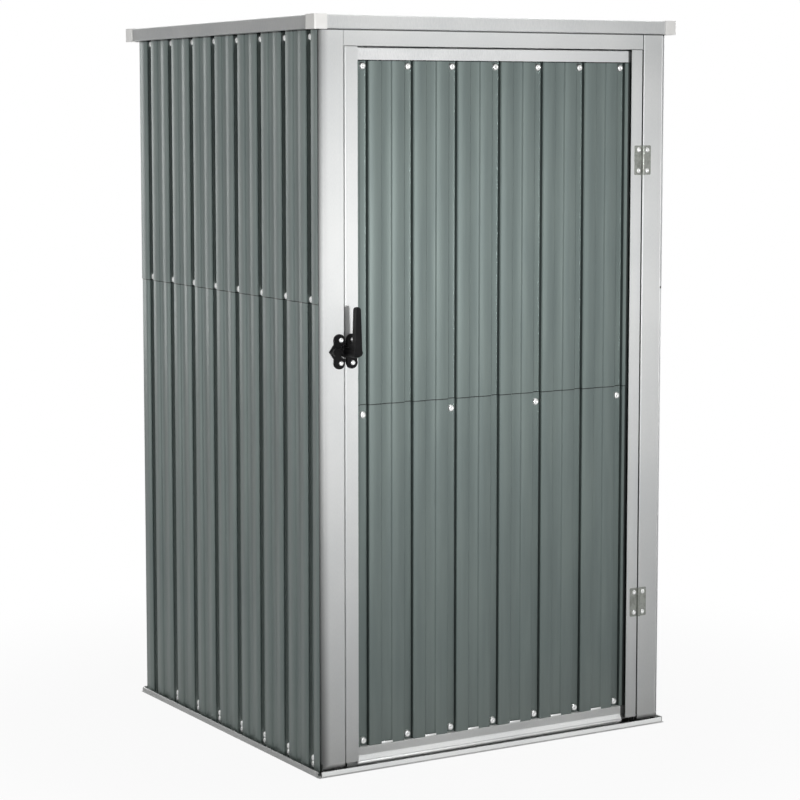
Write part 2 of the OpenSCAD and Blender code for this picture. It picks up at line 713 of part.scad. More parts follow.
base_rail_front();
base_rail_back();
base_rail_left();
base_rail_right();
corner_post_front_left();
corner_post_front_right();
corner_post_back_left();
corner_post_back_right();
left_wall_lower();
left_wall_upper();
right_wall_lower();
right_wall_upper();
back_wall_lower();
back_wall_upper();
wall_girt_left();
wall_girt_right();
wall_girt_back();
top_rail_left();
top_rail_right();
top_rail_back();
door_header();
roof_sheet_left();
roof_sheet_right();
roof_trim_front();
roof_trim_back();
roof_trim_left();
roof_trim_right();
roof_cap_front_left();
roof_cap_front_right();
roof_cap_back_left();
roof_cap_back_right();
hinge_post_leaf_lower();
hinge_post_leaf_upper();
latch_keeper();
door_stile_left();
door_stile_right();
door_rail_top();
door_rail_bottom();
door_rail_middle();
door_sheet_lower();
door_sheet_upper();
hinge_door_leaf_lower();
hinge_door_leaf_upper();
latch_base();
latch_lever();
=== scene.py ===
import logging
import math
from dataclasses import dataclass, field
from enum import Enum
from typing import Any, Iterable, Sequence

import bmesh
import bpy
from mathutils import Matrix, Vector


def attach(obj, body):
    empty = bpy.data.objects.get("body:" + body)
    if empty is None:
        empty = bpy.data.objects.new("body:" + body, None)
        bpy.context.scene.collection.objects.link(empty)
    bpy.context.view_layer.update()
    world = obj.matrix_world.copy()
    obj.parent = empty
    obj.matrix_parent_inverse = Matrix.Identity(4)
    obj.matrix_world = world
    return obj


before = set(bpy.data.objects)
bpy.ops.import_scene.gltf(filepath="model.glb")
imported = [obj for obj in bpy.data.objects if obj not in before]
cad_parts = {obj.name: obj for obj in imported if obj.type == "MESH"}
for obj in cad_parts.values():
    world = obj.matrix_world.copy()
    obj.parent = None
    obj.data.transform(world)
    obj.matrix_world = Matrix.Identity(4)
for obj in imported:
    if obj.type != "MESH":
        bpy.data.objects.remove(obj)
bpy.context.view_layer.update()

Colour = tuple[float, float, float, float]
Span = tuple[float, float]
Triple = tuple[float, float, float]

LOG = logging.getLogger("metal_shed")
MM = 0.001
WHITE: Colour = (1.0, 1.0, 1.0, 1.0)
# A place in metres that is off the shed, for a shade that a finish doesn't have
FAR = 9.0


class Body(Enum):
    """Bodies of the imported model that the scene's own pieces ride on."""

    SHED = "shed"
    DOOR = "door"


class Facing(Enum):
    """Direction that a screw head looks in."""

    LEFT = (-1.0, 0.0, 0.0)
    RIGHT = (1.0, 0.0, 0.0)
    FRONT = (0.0, -1.0, 0.0)
    BACK = (0.0, 1.0, 0.0)


class Slot(Enum):
    """Material slots of the record; no piece in this script is given one."""

    FRAME = "silver_frame"
    HINGE = "hinge_steel"


class Recess(Enum):
    """Hollow of a frame member that lies in shade and is painted dark."""

    NONE = "none"
    STILE_CHANNEL = "stile_channel"
    HINGE_JAMB = "hinge_jamb"


def linear(red: int, green: int, blue: int) -> Colour:
    """Turns a display colour into the linear colour that shaders take.

    Args:
        red: Red from 0 to 255.
        green: Green from 0 to 255.
        blue: Blue from 0 to 255.

    Returns:
        The linear colour with full alpha.
    """
    parts = [c / 255 for c in (red, green, blue)]
    lin = [c / 12.92 if c <= 0.04045 else ((c + 0.055) / 1.055) ** 2.4 for c in parts]
    return (lin[0], lin[1], lin[2], 1.0)


class Signal:
    """A node's output, with operators that add Math nodes."""

    def __init__(self, graph: "Graph", socket: bpy.types.NodeSocket) -> None:
        """Keeps the graph and the socket."""
        self.graph = graph
        self.socket = socket

    def _math(self, operation: str, *values: Any) -> "Signal":
        """Adds a Math node with numbers or signals for its inputs, in order."""
        return self.graph.node("ShaderNodeMath", {"operation": operation}, dict(enumerate(values)))

    def __add__(self, other: Any) -> "Signal":
        """Sum."""
        return self._math("ADD", self, other)

    def __radd__(self, other: Any) -> "Signal":
        """Sum, reflected."""
        return self._math("ADD", other, self)

    def __sub__(self, other: Any) -> "Signal":
        """Difference."""
        return self._math("SUBTRACT", self, other)

    def __rsub__(self, other: Any) -> "Signal":
        """Difference, reflected."""
        return self._math("SUBTRACT", other, self)

    def __mul__(self, other: Any) -> "Signal":
        """Product."""
        return self._math("MULTIPLY", self, other)

    def __rmul__(self, other: Any) -> "Signal":
        """Product, reflected."""
        return self._math("MULTIPLY", other, self)

    def size(self) -> "Signal":
        """The value without its sign."""
        return self._math("ABSOLUTE", self)

    def cosine(self) -> "Signal":
        """The cosine of the value, taken in radians."""
        return self._math("COSINE", self)

    def most(self, other: Any) -> "Signal":
        """The larger of the value and another."""
        return self._math("MAXIMUM", self, other)

    def clamped(self) -> "Signal":
        """The value held between 0 and 1."""
        return self.graph.node("ShaderNodeClamp", None, {0: self})

    def smooth(self, low: float, high: float) -> "Signal":
        """A smooth step of the value, 0 up to the low number and 1 from the high one."""
        return self.graph.node(
            "ShaderNodeMapRange", {"interpolation_type": "SMOOTHSTEP"}, {0: self, 1: low, 2: high}
        )

    def within(self, low: float, high: float, soft: float = 0.0004) -> "Signal":
        """One between two numbers and 0 outside, with soft ends."""
        return self.smooth(low - soft, low + soft) * (1 - self.smooth(high - soft, high + soft))


class Graph:
    """A node tree that is filled through one method."""

    def __init__(self, tree: bpy.types.NodeTree) -> None:
        """Starts from an empty tree."""
        self.tree = tree
        self.tree.nodes.clear()

    def node(
        self,
        kind: str,
        settings: dict[str, Any] | None = None,
        inputs: dict[Any, Any] | None = None,
        out: Any = 0,
    ) -> Signal:
        """Adds a node.

        Args:
            kind: The node's type.
            settings: Properties that are set first.
            inputs: Values or signals by socket name or index.
            out: Name or index of the output to hand back.

        Returns:
            The chosen output, or the first input of a node that has no output.
        """
        made = self.tree.nodes.new(kind)
        for name, value in (settings or {}).items():
            setattr(made, name, value)
        for key, value in (inputs or {}).items():
            if isinstance(value, Signal):
                self.tree.links.new(value.socket, made.inputs[key])
            else:
                made.inputs[key].default_value = value
        if not made.outputs:
            return Signal(self, made.inputs[0])
        return Signal(self, made.outputs[out])

    def place(self, axis: str = "") -> Signal:
        """The point on the object in metres, or its X, Y or Z where an axis is named."""
        whole = self.node("ShaderNodeTexCoord", None, None, "Object")
        return self.node("ShaderNodeSeparateXYZ", None, {0: whole}, axis) if axis else whole

    def ray(self, kind: str) -> Signal:
        """One for the rays of a kind, by Light Path's name for it."""
        return self.node("ShaderNodeLightPath", None, None, kind)

    def noise(self, scale: float, detail: float = 3.0, stretch: Sequence[float] = (1, 1, 1)) -> Signal:
        """Noise about 0.5 over the object, with a scale in waves per metre and octaves of detail."""
        where = self.node("ShaderNodeMapping", None, {"Vector": self.place(), "Scale": tuple(stretch)})
        return self.node("ShaderNodeTexNoise", None, {"Vector": where, "Scale": scale, "Detail": detail})

    def blend(self, share: Signal | float, first: Any, second: Any) -> Signal:
        """Mixes two colours or signals by the share of the second."""
        return self.node("ShaderNodeMix", {"data_type": "RGBA"}, {0: share, 6: first, 7: second}, 2)

    def bump(self, height: Signal, distance: float) -> Signal:
        """A normal bumped by a height, which counts in units of a distance in metres."""
        return self.node("ShaderNodeBump", None, {"Height": height, "Distance": distance, "Strength": 1.0})

    def surface(self, inputs: dict[str, Any]) -> None:
        """Ends the tree in a principled surface with values or signals for its sockets."""
        shader = self.node("ShaderNodeBsdfPrincipled", None, inputs)
        self.node("ShaderNodeOutputMaterial", None, {"Surface": shader})


class Finish:
    """A finish that makes its material once."""

    name: str

    def material(self) -> bpy.types.Material:
        """The finish's material, made when first asked for.

        Returns:
            The material.
        """
        found = bpy.data.materials.get(self.name)
        if found is None:
            found = bpy.data.materials.new(self.name)
            found.use_nodes = True
            self.fill(Graph(found.node_tree))
        return found

    def fill(self, graph: Graph) -> None:
        """Fills the material's empty tree."""
        raise NotImplementedError


@dataclass(frozen=True)
class RoofEdge:
    """Lower edge of the roof trims, which falls to the back; places in metres."""

    front_y: float = -0.4435
    front_z: float = 1.562
    fall: float = 0.0093
    reach: Span = (-0.0034, -0.0022)

    def shade(self, graph: Graph) -> Signal:
        """The narrow shade right under the trims, from 0 to 1."""
        edge_z = self.front_z - (graph.place("Y") - self.front_y) * self.fall
        return (graph.place("Z") - edge_z).smooth(*self.reach)


ROOF_EDGE = RoofEdge()


@dataclass(frozen=True)
class SheetFinish(Finish):
    """Grey satin coat of the profiled sheets; places in metres."""

    name: str
    along: str = "X"
    groove: float = 0.0
    inward: str = "Y"
    rib: float = 0.43
    seam_z: float = FAR
    groove_shade: float = 0.3
    painted_light_share: float = 0.0
    crown: float = 0.0011
    edge: float = FAR
    under_roof: bool = True
    half_pitch: float = 0.05475
    shaded_depth: Span = (0.0034, 0.0092)
    lit_depth: Span = (0.0048, 0.0094)
    seam_reach: Span = (-0.0022, 0.003)
    edge_soft: float = 0.0008
    lit_edge_x: float = 0.43
    lit_edge_y: Span = (-0.416, -0.415)
    skin: float = 0.0002
    dusty_z: float = 0.22
    colour: Colour = linear(120, 132, 129)
    faded_tone_and_painted_falloff: Colour = linear(111, 123, 121)
    dust: Colour = linear(142, 143, 137)
    # colour of the painted shade
    dark: Colour = linear(30, 33, 33)
    # colour of the painted light on the left wall's forward groove sides
    pale: Colour = linear(232, 238, 236)
    # pale colour of the painted light on the right wall's front edge
    edge_light_colour: Colour = linear(250, 251, 251)
    darkest: float = 0.9
    metallic: float = 0.38
    roughness: float = 0.4

    def depth(self, graph: Graph) -> Signal:
        """Distance behind the outer face of the ribs."""
        return self.rib - graph.place(self.inward).size()

    def phase(self, graph: Graph) -> Signal:
        """Angle along the profile, with a full turn from a groove to the next swage."""
        return (graph.place(self.along) - self.groove) * (2 * math.pi / self.half_pitch)

    def painted_shade(self, graph: Graph) -> Signal:
        """Painted shade of the groove sides, of the seam under the lap, of the cut ends and of the eave.

        Args:
            graph: The tree.

        Returns:
            A value from 0 to 1.
        """
        sides = self.depth(graph).within(*self.shaded_depth) * self.groove_shade
        low, high = self.seam_reach
        seam = graph.place("Z").within(self.seam_z + low, self.seam_z + high)
        ends = graph.place("X").size().smooth(self.edge - self.edge_soft, self.edge + self.edge_soft)
        shade = sides.most(seam).most(ends)
        if self.under_roof:
            shade = shade.most(ROOF_EDGE.shade(graph))
        return shade * self.darkest

    def lit_sides(self, graph: Graph) -> Signal:
        """Painted light on the groove sides of the left wall that look forward.

        Args:
            graph: The tree.

        Returns:
            A value from 0 to 1.
        """
        forward = (self.phase(graph) - math.pi / 2).cosine().smooth(0.0, 0.15)
        left = 1 - graph.place("X").smooth(-0.1, 0.1)
        return self.depth(graph).within(*self.lit_depth) * forward * left

    def painted_edge_light(self, graph: Graph) -> Signal:
        """Painted light on the inner face at the front edge of the right wall, from 0 to 1."""
        inner = graph.place("X").within(self.lit_edge_x, self.rib - self.skin, self.skin / 2)
        return (1 - graph.place("Y").smooth(*self.lit_edge_y)) * inner

    def fill(self, graph: Graph) -> None:
        """Coat with rolled streaks, a speckle, crowned flats, dust near the ground, dark seams and grooves of
        painted shade, and painted light on the side walls.

        Args:
            graph: The empty tree.
        """
        streak = graph.noise(22.0, 4.0, (3.0, 3.0, 0.18))
        cloud = graph.noise(3.2, 3.0)
        speckle = graph.noise(900.0, 2.0)
        low = 1 - graph.place("Z").smooth(0.0, self.dusty_z)
        tone = graph.blend((streak * 0.6 + cloud * 0.4).smooth(0.35, 0.65), self.colour, self.faded_tone_and_painted_falloff)
        tone = graph.blend(low * cloud * 0.3, tone, self.dust)
        # painted light: the inner face at the right wall's front edge is made pale and less metallic
        edge_light_share: Signal | float = 0.0
        if self.painted_light_share:
            # painted light: the left wall's forward groove sides are blended pale
            tone = graph.blend(self.lit_sides(graph) * self.painted_light_share, tone, self.pale)
            edge_light_share = self.painted_edge_light(graph)
            tone = graph.blend(edge_light_share, tone, self.edge_light_colour)
        # painted shade: groove sides, lap seams, sheet ends and the eave are blended dark
        tone = graph.blend(self.painted_shade(graph), tone, self.dark)
        rough = self.roughness + (speckle - 0.5) * 0.1 + (cloud - 0.5) * 0.1 + low * 0.08
        dents = graph.noise(5.0, 2.0, (1.0, 1.0, 0.45))
        height = dents * 1.2 - self.phase(graph).cosine() + speckle * 0.012
        graph.surface(
            {
                "Base Color": tone,
                "Roughness": rough.clamped(),
                "Metallic": self.metallic - edge_light_share * self.metallic,
                "Normal": graph.bump(height, self.crown),
            }
        )


@dataclass(frozen=True)
class FrameFinish(Finish):
    """Silver-white coat of the frame, the rails and the trims; places in metres."""

    name: str = "silver_coated_frame"
    colour: Colour = linear(241, 242, 241)
    shade: Colour = linear(229, 231, 231)
    # share of a painted darkening to the right, where the light falls off
    painted_falloff: float = 0.0
    metallic: float = 0.1
    bright: Span = (-FAR, -FAR)
    ends: Span = (-FAR, FAR)
    under_roof: bool = False
    foot: float = -FAR
    recess: Recess = Recess.NONE
    foot_soft: float = 0.012
    end_soft: float = 0.0004
    fold_x: Span = (-0.4385, -0.416)
    fold_z: float = 1.0
    fold_least: float = 0.1
    fold_growth: float = 0.75
    fold_rough: float = 2.0
    channel_x: Span = (0.3776, 0.378)
    channel_y: Span = (-0.4266, -0.4083)
    jamb_x: Span = (0.381, 0.3846)
    jamb_y: Span = (-0.4288, -0.4282)
    grimy_z: float = 0.1
    grime: Colour = linear(186, 184, 178)
    # colour of the painted shade
    dark: Colour = linear(40, 42, 42)
    darkest: float = 0.9
    hollow_dark: float = 0.92
    polish: float = 0.7
    roughness: float = 0.45

    def fold(self, graph: Graph) -> Signal:
        """The outer fold of the left post."""
        return 1 - graph.place("X").smooth(*self.fold_x)

    def painted_shade(self, graph: Graph, fold: Signal) -> Signal:
        """Painted shade under the roof trims, on the left post's fold and at the posts' feet.

        Args:
            graph: The tree.
            fold: Where the fold is.

        Returns:
            A value from 0 to 1.
        """
        height = graph.place("Z")
        # painted shade on the left post's outer fold, deeper away from the fold's middle height
        turned = fold * (self.fold_least + (height - self.fold_z).size() * self.fold_growth)
        # painted shade: darker towards the bottom of a post foot
        feet = 1 - height.smooth(self.foot, self.foot + self.foot_soft)
        return ROOF_EDGE.shade(graph).most(turned).most(feet)

    def hollow(self, graph: Graph) -> Signal | float:
        """The member's hollow that lies in shade, painted dark.

        Args:
            graph: The tree.

        Returns:
            A value from 0 to 1.
        """
        across, inward = graph.place("X"), graph.place("Y")
        if self.recess is Recess.STILE_CHANNEL:
            return inward.within(*self.channel_y) * (1 - across.size().smooth(*self.channel_x))
        if self.recess is Recess.HINGE_JAMB:
            return inward.smooth(*self.jamb_y) * across.within(*self.jamb_x)
        return 0.0

    def past_ends(self, graph: Graph) -> Signal:
        """Painted shade to the left and right of the member's lit length.

        Args:
            graph: The tree.

        Returns:
            A value from 0 to 1.
        """
        across = graph.place("X")
        left, right = self.ends
        before = 1 - across.smooth(left, left + self.end_soft)
        after = across.smooth(right - self.end_soft, right)
        return before.most(after)

    def fill(self, graph: Graph) -> None:
        """Even coat with a fine grain, a slow cloud, grime at the foot, uncoated metallic bands, painted
        shade in recesses and under the trims, and a painted darkening to the right.

        Args:
            graph: The empty tree.
        """
        cloud = graph.noise(4.0, 3.0)
        grain = graph.noise(700.0, 2.0, (1.0, 1.0, 0.2))
        bright = graph.place("Z").within(*self.bright)
        low = 1 - graph.place("Z").smooth(0.0, self.grimy_z)
        # painted shade: darker towards the right, where the light falls off
        faded_tone_and_painted_falloff = graph.place("X").smooth(-0.35, 0.4) * self.painted_falloff
        tone = graph.blend((cloud * 0.7 + grain * 0.3).smooth(0.35, 0.7).most(faded_tone_and_painted_falloff), self.colour, self.shade)
        tone = graph.blend(low * cloud * (1 - bright) * 0.4, tone, self.grime)
        if self.under_roof:
            fold = self.fold(graph)
            # painted shade under the trims, on the fold and at the feet
            tone = graph.blend(self.painted_shade(graph, fold) * self.darkest, tone, self.dark)
            grain = grain + fold * self.fold_rough
        # painted shade in the stile channel and on the hinge jamb
        tone = graph.blend(self.hollow(graph) * self.hollow_dark, tone, self.dark)
        # painted shade past the rail's lit ends
        tone = graph.blend(self.past_ends(graph) * self.darkest, tone, self.dark)
        rough = self.roughness + (grain - 0.5) * 0.12 + (cloud - 0.5) * 0.08
        graph.surface(
            {
                "Base Color": tone,
                "Roughness": rough.clamped(),
                "Metallic": self.metallic + bright * self.polish,
                "Normal": graph.bump(grain * 0.02 + cloud, 0.0012),
            }
        )


@dataclass(frozen=True)
class ScrewFinish(Finish):
    """Bright plating of the screws."""

    name: str = "bright_plated_screw"
    colour: Colour = linear(243, 244, 243)
    dull: Colour = linear(222, 223, 221)
    metallic: float = 0.8
    roughness: float = 0.34

    def fill(self, graph: Graph) -> None:
        """Plating with a fine mottle.

        Args:
            graph: The empty tree.
        """
        mottle = graph.noise(500.0, 3.0)
        graph.surface(
            {
                "Base Color": graph.blend(mottle.smooth(0.4, 0.7), self.colour, self.dull),
                "Roughness": (self.roughness + (mottle - 0.5) * 0.2).clamped(),
                "Metallic": self.metallic,
                "Normal": graph.bump(mottle, 0.00006),
            }
        )


@dataclass(frozen=True)
class HingeFinish(Finish):
    """Zinc-plated steel of the hinges."""

    name: str = "zinc_plated_steel"
    colour: Colour = linear(166, 169, 163)
    dull: Colour = linear(136, 139, 133)
    metallic: float = 0.6
    roughness: float = 0.4

    def fill(self, graph: Graph) -> None:
        """Plating with fine spangle and rubbed patches.

        Args:
            graph: The empty tree.
        """
        spangle = graph.noise(420.0, 3.0)
        patch = graph.noise(60.0, 3.0)
        tone = graph.blend((spangle * 0.5 + patch * 0.5).smooth(0.38, 0.62), self.colour, self.dull)
        graph.surface(
            {
                "Base Color": tone,
                "Roughness": (self.roughness + (spangle - 0.5) * 0.25).clamped(),
                "Metallic": self.metallic,
                "Normal": graph.bump(spangle, 0.0001),
            }
        )


@dataclass(frozen=True)
class CapFinish(Finish):
    """Moulded plastic of the roof's corner caps."""

    name: str = "moulded_cap_plastic"
    colour: Colour = linear(253, 252, 250)
    aged: Colour = linear(247, 246, 243)
    metallic: float = 0.35
    specular: float = 0.9
    roughness: float = 0.5

    def fill(self, graph: Graph) -> None:
        """Fine moulded grain with a slight ageing.

        Args:
            graph: The empty tree.
        """
        grain = graph.noise(1400.0, 2.0)
        cloud = graph.noise(18.0, 3.0)
        graph.surface(
            {
                "Base Color": graph.blend(cloud.smooth(0.35, 0.7), self.colour, self.aged),
                "Roughness": (self.roughness + (grain - 0.5) * 0.2).clamped(),
                "Metallic": self.metallic,
                "Specular IOR Level": self.specular,
                "Normal": graph.bump(grain, 0.00008),
            }
        )


@dataclass(frozen=True)
class LatchFinish(Finish):
    """Black moulded plastic of the latch."""

    name: str = "black_latch_plastic"
    colour: Colour = linear(14, 14, 15)
    worn: Colour = linear(26, 26, 27)
    specular: float = 0.12
    roughness: float = 0.42

    def fill(self, graph: Graph) -> None:
        """Fine grain, rubbed a little paler in patches.

        Args:
            graph: The empty tree.
        """
        grain = graph.noise(1500.0, 2.0)
        rub = graph.noise(45.0, 3.0)
        graph.surface(
            {
                "Base Color": graph.blend(rub.smooth(0.45, 0.75), self.colour, self.worn),
                "Roughness": (self.roughness + (grain - 0.5) * 0.25 - rub * 0.06).clamped(),
                "Specular IOR Level": self.specular,
                "Normal": graph.bump(grain, 0.00007),
            }
        )


class FinishOf(Enum):
    """The finish of each group of pieces."""

    # side walls: painted light on the left wall's forward groove sides and on the right wall's front edge
    SIDE_UPPER = SheetFinish(
        "side_sheet_upper", along="Y", groove=0.05175, inward="X", rib=0.442,
        groove_shade=0.0, painted_light_share=0.35, crown=0.0014,
    )
    SIDE_LOWER = SheetFinish(
        "side_sheet_lower", along="Y", groove=0.05175, inward="X", rib=0.4411, seam_z=0.998,
        groove_shade=0.0, painted_light_share=0.35, crown=0.0026,
    )
    BACK_UPPER = SheetFinish("back_sheet_upper")
    BACK_LOWER = SheetFinish("back_sheet_lower", rib=0.4291, seam_z=0.998)
    # door sheets: painted shade in the grooves and past the sheet ends
    DOOR_UPPER = SheetFinish("door_sheet_upper", rib=0.4209, seam_z=1.4995, groove_shade=0.75, edge=0.3462)
    DOOR_LOWER = SheetFinish("door_sheet_lower", rib=0.42, seam_z=0.782, groove_shade=0.75, edge=0.3462)
    ROOF = SheetFinish("roof_sheet", inward="Z", rib=1.5, groove_shade=0.0, under_roof=False)
    FRAME = FrameFinish()
    # painted shade under the trim and on the left post's fold
    EAVE = FrameFinish("silver_coated_eave", under_roof=True)
    # painted shade under the trim and on the hinge jamb
    EAVE_RIGHT = FrameFinish("silver_coated_eave_right", under_roof=True, recess=Recess.HINGE_JAMB)
    # painted shade, darker towards the bottom of the foot plates
    FOOT = FrameFinish("silver_post_foot", under_roof=True, foot=0.0137)
    # painted darkening to the right
    TRIM = FrameFinish("silver_roof_trim", linear(240, 241, 240), linear(223, 225, 225), painted_falloff=0.6)
    # painted darkening to the right and painted shade past the ends
    TOP_RAIL = FrameFinish(
        "silver_top_rail", linear(254, 254, 254), linear(226, 228, 228), painted_falloff=0.8, metallic=0.2,
        ends=(-0.3492, 0.3455),
    )
    SILL = FrameFinish("silver_bare_sill", metallic=0.2, bright=(0.004, 0.0315))
    # painted shade past the right end
    DRIP = FrameFinish("silver_bare_drip", metallic=0.2, bright=(0.004, 0.0315), ends=(-FAR, 0.3412))
    BARE = FrameFinish("silver_bare_edge", metallic=0.2, bright=(0.004, 0.08))
    # painted shade in the stile channel
    STILE = FrameFinish("silver_coated_stile", recess=Recess.STILE_CHANNEL)
    HINGE = HingeFinish()
    SCREW = ScrewFinish()
    CAP = CapFinish()
    LATCH = LatchFinish()


def dress(nodes: Iterable[str], finish: FinishOf) -> None:
    """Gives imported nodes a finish.

    Args:
        nodes: Names of the nodes.
        finish: Their finish.
    """
    material = finish.value.material()
    for name in nodes:
        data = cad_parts[name].data
        if not data.materials:
            data.materials.append(material)
        for index in range(len(data.materials)):
            data.materials[index] = material


def settle(mesh: bmesh.types.BMesh, name: str, body: Body, finish: FinishOf) -> None:
    """Makes a finished piece of a bmesh and lets it ride a body.

    Args:
        mesh: The piece in metres, in place; it is freed.
        name: The piece's name.
        body: Body that carries it.
        finish: Its finish.
    """
    bmesh.ops.recalc_face_normals(mesh, faces=mesh.faces)
    data = bpy.data.meshes.new(name)
    mesh.to_mesh(data)
    mesh.free()
    data.shade_smooth()
    piece = bpy.data.objects.new(name, data)
    bpy.context.scene.collection.objects.link(piece)
    data.materials.append(finish.value.material())
    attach(piece, body.value)
    LOG.info("%s rides %s with %d faces", name, body.value, len(data.polygons))


def settle_blocks(
    blocks: Iterable[tuple[Triple, Triple]], ease: float, name: str, body: Body, finish: FinishOf
) -> None:
    """Makes one piece of the frame from thin blocks with eased edges.

    Args:
        blocks: Size and middle of each block, in millimetres.
        ease: Width of the eased edges, in millimetres.
        name: The piece's name.
        body: Body that carries it.
        finish: Its finish.
    """
    mesh = bmesh.new()
    for size, middle in blocks:
        block = bmesh.ops.create_cube(mesh, size=1.0)["verts"]
        bmesh.ops.scale(mesh, verts=block, vec=Vector(size) * MM)
        bmesh.ops.translate(mesh, verts=block, vec=Vector(middle) * MM)
    bmesh.ops.bevel(
        mesh, geom=mesh.edges[:], offset=ease * MM, affect="EDGES", segments=1, profile=0.5, material=-1
    )
    settle(mesh, name, body, finish)


def evenly(count: int, pitch: float, middle: float = 0.0) -> list[float]:
    """Places of a row with equal steps about its middle, in order."""
    return [middle + (k - (count - 1) / 2) * pitch for k in range(count)]


@dataclass(frozen=True)
class Screw:
    """A domed screw with a cross recess; sizes in millimetres, the dome in shares of width and rise."""

    head: float = 16.5
    rise: float = 7.0
    recess: float = 5.6
    slot_w: float = 1.3
    depth: float = 1.1
    taper: float = 0.75
    sides: int = 12
    dome: tuple[Span, ...] = ((0.32, 0.94), (0.40, 0.84), (0.47, 0.55), (0.5, 0.22), (0.5, 0.0))
    next_turn: float = 37.0

    def head_mesh(self) -> bmesh.types.BMesh:
        """Builds the head about +Z with its underside at zero.

        Returns:
            A bmesh in metres.
        """
        mesh = bmesh.new()
        bmesh.ops.create_grid(mesh, x_segments=3, y_segments=3, size=1.5)
        for vert in mesh.verts:
            for axis in (0, 1):
                reach = self.slot_w if abs(vert.co[axis]) < 1.0 else self.recess
                vert.co[axis] = math.copysign(reach / 2, vert.co[axis])
            vert.co.z = self.rise
        cross = [f for f in mesh.faces if min(abs(c) for c in f.calc_center_median().xy) < 0.01]
        rim = [e for e in mesh.edges if e.is_boundary]
        step = 2 * math.pi / self.sides
        for radius, height in self.dome:
            made = bmesh.ops.extrude_edge_only(mesh, edges=rim)["geom"]
            rim = [g for g in made if isinstance(g, bmesh.types.BMEdge)]
            for vert in [g for g in made if isinstance(g, bmesh.types.BMVert)]:
                turn = (math.floor(math.atan2(vert.co.y, vert.co.x) / step) + 0.5) * step
                out = radius * self.head
                vert.co = Vector((math.cos(turn) * out, math.sin(turn) * out, height * self.rise))
        pushed = bmesh.ops.extrude_face_region(mesh, geom=cross)["geom"]
        bmesh.ops.delete(mesh, geom=cross, context="FACES")
        floor = [g for g in pushed if isinstance(g, bmesh.types.BMVert)]
        bmesh.ops.translate(mesh, verts=floor, vec=(0.0, 0.0, -self.depth))
        bmesh.ops.scale(mesh, verts=floor, vec=(self.taper, self.taper, 1.0))
        bmesh.ops.scale(mesh, verts=mesh.verts, vec=(MM, MM, MM))
        return mesh

    def row(self, places: Sequence[Triple], facing: Facing, name: str, body: Body) -> None:
        """Sets a row of screws as one piece.

        Args:
            places: Points in millimetres where the heads sit.
            facing: Direction that the heads look in.
            name: The piece's name.
            body: Body that carries them.
        """
        head = self.head_mesh()
        pattern = bpy.data.meshes.new(name + "_head")
        head.to_mesh(pattern)
        head.free()
        whole = bmesh.new()
        turn = Vector(facing.value).to_track_quat("Z", "Y").to_matrix().to_4x4()
        for index, place in enumerate(places):
            spin = Matrix.Rotation(math.radians(self.next_turn * index), 4, "Z")
            start = len(whole.verts)
            whole.from_mesh(pattern)
            whole.verts.ensure_lookup_table()
            move = Matrix.Translation(Vector(place) * MM) @ turn @ spin
            bmesh.ops.transform(whole, matrix=move, verts=whole.verts[start:])
        bpy.data.meshes.remove(pattern)
        settle(whole, name, body, FinishOf.SCREW)


@dataclass
class Walls:
    """Profiled sheets of the three walls and the screws that hold them; sizes in millimetres."""

    half_width: float = 442.0
    half_depth: float = 430.0
    groove_depth: float = 10.5
    groove_count: int = 8
    pitch: float = 109.5
    side_middle: float = -3.0
    lower_inset: float = 0.9
    top_z: float = 1546.0
    back_drop: float = 12.0
    lap_z: float = 1005.0
    foot_z: Span = (31.0, 18.0)
    screw: Screw = Screw()
    finishes: dict[str, FinishOf] = field(
        default_factory=lambda: {
            "left_wall_lower": FinishOf.SIDE_LOWER, "left_wall_upper": FinishOf.SIDE_UPPER,
            "right_wall_lower": FinishOf.SIDE_LOWER, "right_wall_upper": FinishOf.SIDE_UPPER,
            "back_wall_lower": FinishOf.BACK_LOWER, "back_wall_upper": FinishOf.BACK_UPPER,
        }
    )

    def build(self) -> None:
        """Dresses the sheets and sets the screws of each wall."""
        for name, finish in self.finishes.items():
            dress([name], finish)
        along = evenly(self.groove_count, self.pitch, self.side_middle)
        for side, facing in ((-1, Facing.LEFT), (1, Facing.RIGHT)):
            upper = side * (self.half_width - self.groove_depth)
            lower = upper - side * self.lower_inset
            places = [(upper, y, z) for z in (self.top_z, self.lap_z) for y in along]
            places += [(lower, y, z) for z in self.foot_z for y in along[:-1]]
            self.screw.row(places, facing, f"{facing.name.lower()}_wall_screws", Body.SHED)
        across = evenly(self.groove_count, self.pitch)
        upper = self.half_depth - self.groove_depth
        places = [(x, upper, z) for z in (self.top_z - self.back_drop, self.lap_z) for x in across]
        places += [(x, upper - self.lower_inset, z) for z in self.foot_z for x in across]
        self.screw.row(places, Facing.BACK, "back_wall_screws", Body.SHED)


